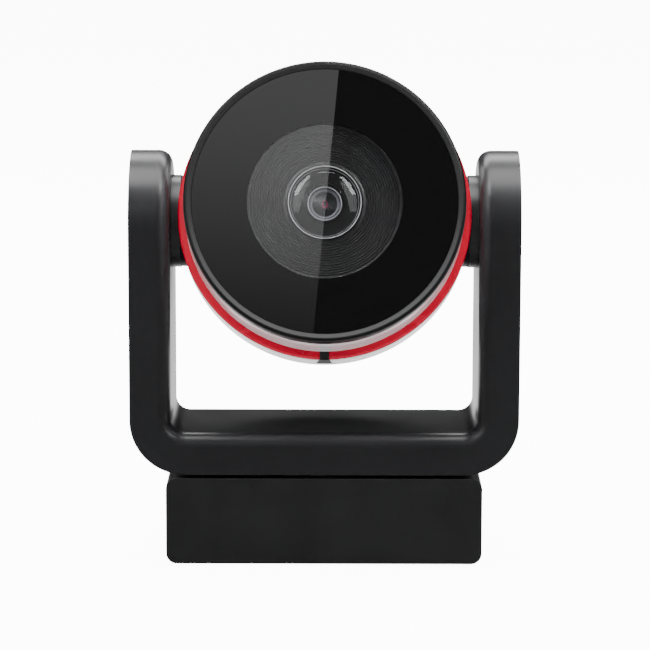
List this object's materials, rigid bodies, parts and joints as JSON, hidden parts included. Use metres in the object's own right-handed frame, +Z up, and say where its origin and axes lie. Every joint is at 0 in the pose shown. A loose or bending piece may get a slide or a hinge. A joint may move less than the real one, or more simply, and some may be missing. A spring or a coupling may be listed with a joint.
{
  "type": "ptz camera",
  "caption": "Pan-tilt-zoom conference camera: a drum head with a round glass front tilts between the arms of a U-shaped yoke that turns on a low base with sockets behind.",
  "frame": {"origin": "on the pan axis, at the plane the rubber feet rest on, 1 mm below the mouth of the tripod thread", "axes": "+Z up along the pan axis; the lens looks along -Y; +X is on the left hand of the camera, which is the viewer's right"},
  "size_m": [0.144, 0.1372, 0.1889],
  "materials": {
    "housing_black": "fine satin moulding texture",
    "plate_black": "black powder coat",
    "foot_rubber": "matte",
    "brass": "turned",
    "screw_black": "black oxide",
    "screw_steel": "zinc plated",
    "cast_aluminium": "die cast",
    "motor_steel": "drawn and plated",
    "bearing_steel": "ground",
    "board_green": "solder mask",
    "port_metal": "tinned shell",
    "port_plastic": "moulded",
    "yoke_black": "satin black coat",
    "gear_nylon": "moulded nylon",
    "trunnion_black": "satin black coat",
    "harness_sleeve": "braided sleeve",
    "bezel_black": "semi-gloss",
    "front_glass": "clear hardened glass, smoked",
    "mask_black": "printed black border",
    "baffle_grey": "fine concentric grooves",
    "barrel_black": "anodised black",
    "lens_glass": "coated optical glass",
    "chrome": "bright plated",
    "silver_satin": "satin anodised",
    "ring_red": "gloss lacquer",
    "clip_black": "moulded",
    "shell_black": "fine satin moulding texture"
  },
  "bodies": {
    "base": {"base_housing": "housing_black", "base_bottom_plate": "plate_black", "rubber_feet": "foot_rubber", "tripod_insert": "brass", "base_screws": "screw_black", "pan_bracket": "cast_aluminium", "bracket_screws": "screw_steel", "pan_motor": "motor_steel", "bearing_outer_race": "bearing_steel", "bearing_balls": "bearing_steel", "base_board": "board_green", "power_jack": "port_plastic", "hdmi_port": "port_metal", "usb_port": "port_metal", "lan_port": "port_metal", "control_port": "port_plastic"},
    "pan_pinion": {"pan_pinion": "brass"},
    "yoke": {"yoke_frame": "yoke_black", "yoke_bottom_plate": "plate_black", "yoke_screws": "screw_black", "pan_hub": "cast_aluminium", "bearing_inner_race": "bearing_steel", "pan_gear": "gear_nylon", "left_arm_cover": "yoke_black", "right_arm_cover": "yoke_black", "cover_screws": "screw_black", "left_trunnion": "trunnion_black", "right_trunnion": "trunnion_black", "trunnion_screws": "screw_steel", "tilt_gear": "gear_nylon", "wire_harness": "harness_sleeve"},
    "head": {"bezel_ring": "bezel_black", "front_glass": "front_glass", "glass_mask": "mask_black", "lens_baffle": "baffle_grey", "chrome_band": "chrome", "red_ring": "ring_red", "ring_clip": "clip_black", "silver_band": "silver_satin", "head_front_shell": "shell_black", "head_rear_shell": "shell_black", "head_chassis": "cast_aluminium", "left_bush": "brass", "right_bush": "brass", "tilt_motor": "motor_steel", "motor_bracket": "cast_aluminium", "head_screws": "screw_black", "lens_barrel": "barrel_black", "front_lens": "lens_glass", "lens_body": "barrel_black", "guide_rods": "bearing_steel", "lens_motors": "motor_steel", "sensor_board": "board_green"},
    "tilt_pinion": {"tilt_pinion": "brass"},
    "zoom_group": {"zoom_carrier": "barrel_black", "zoom_lens": "lens_glass"},
    "zoom_screw": {"zoom_screw": "bearing_steel"},
    "focus_group": {"focus_carrier": "barrel_black", "focus_lens": "lens_glass"},
    "focus_screw": {"focus_screw": "bearing_steel"}
  },
  "joints": [
    {"name": "pan_turn", "type": "hinge", "parent": "base", "child": "yoke", "pos_m": [0, 0, 0.03], "axis": [0, 0, 1], "range_deg": [-170, 170]},
    {"name": "pan_pinion_spin", "type": "hinge", "parent": "base", "child": "pan_pinion", "pos_m": [0, 0.025, 0.0195], "axis": [0, 0, 1], "range_deg": [-900, 900]},
    {"name": "tilt_turn", "type": "hinge", "parent": "yoke", "child": "head", "pos_m": [0, 0, 0.1261], "axis": [-1, 0, 0], "range_deg": [-46, 74]},
    {"name": "tilt_pinion_spin", "type": "hinge", "parent": "head", "child": "tilt_pinion", "pos_m": [0, 0.02403, 0.11921], "axis": [-1, 0, 0], "range_deg": [-250, 400]},
    {"name": "zoom_slide", "type": "slide", "parent": "head", "child": "zoom_group", "axis": [0, -0.9613, 0.2756], "range_m": [0, 0.014]},
    {"name": "zoom_screw_spin", "type": "hinge", "parent": "head", "child": "zoom_screw", "pos_m": [0.014, 0, 0.1261], "axis": [0, -0.9613, 0.2756], "range_deg": [-20, 2540]},
    {"name": "focus_slide", "type": "slide", "parent": "head", "child": "focus_group", "axis": [0, -0.9613, 0.2756], "range_m": [0, 0.005]},
    {"name": "focus_screw_spin", "type": "hinge", "parent": "head", "child": "focus_screw", "pos_m": [-0.014, 0, 0.1261], "axis": [0, -0.9613, 0.2756], "range_deg": [-20, 920]}
  ],
  "couplings": [
    {"joint": "pan_pinion_spin", "follows": "pan_turn", "ratio": -5.25},
    {"joint": "tilt_pinion_spin", "follows": "tilt_turn", "ratio": 5.25},
    {"joint": "zoom_screw_spin", "follows": "zoom_slide", "rad_per_m": 3141.6},
    {"joint": "focus_screw_spin", "follows": "focus_slide", "rad_per_m": 3141.6}
  ]
}
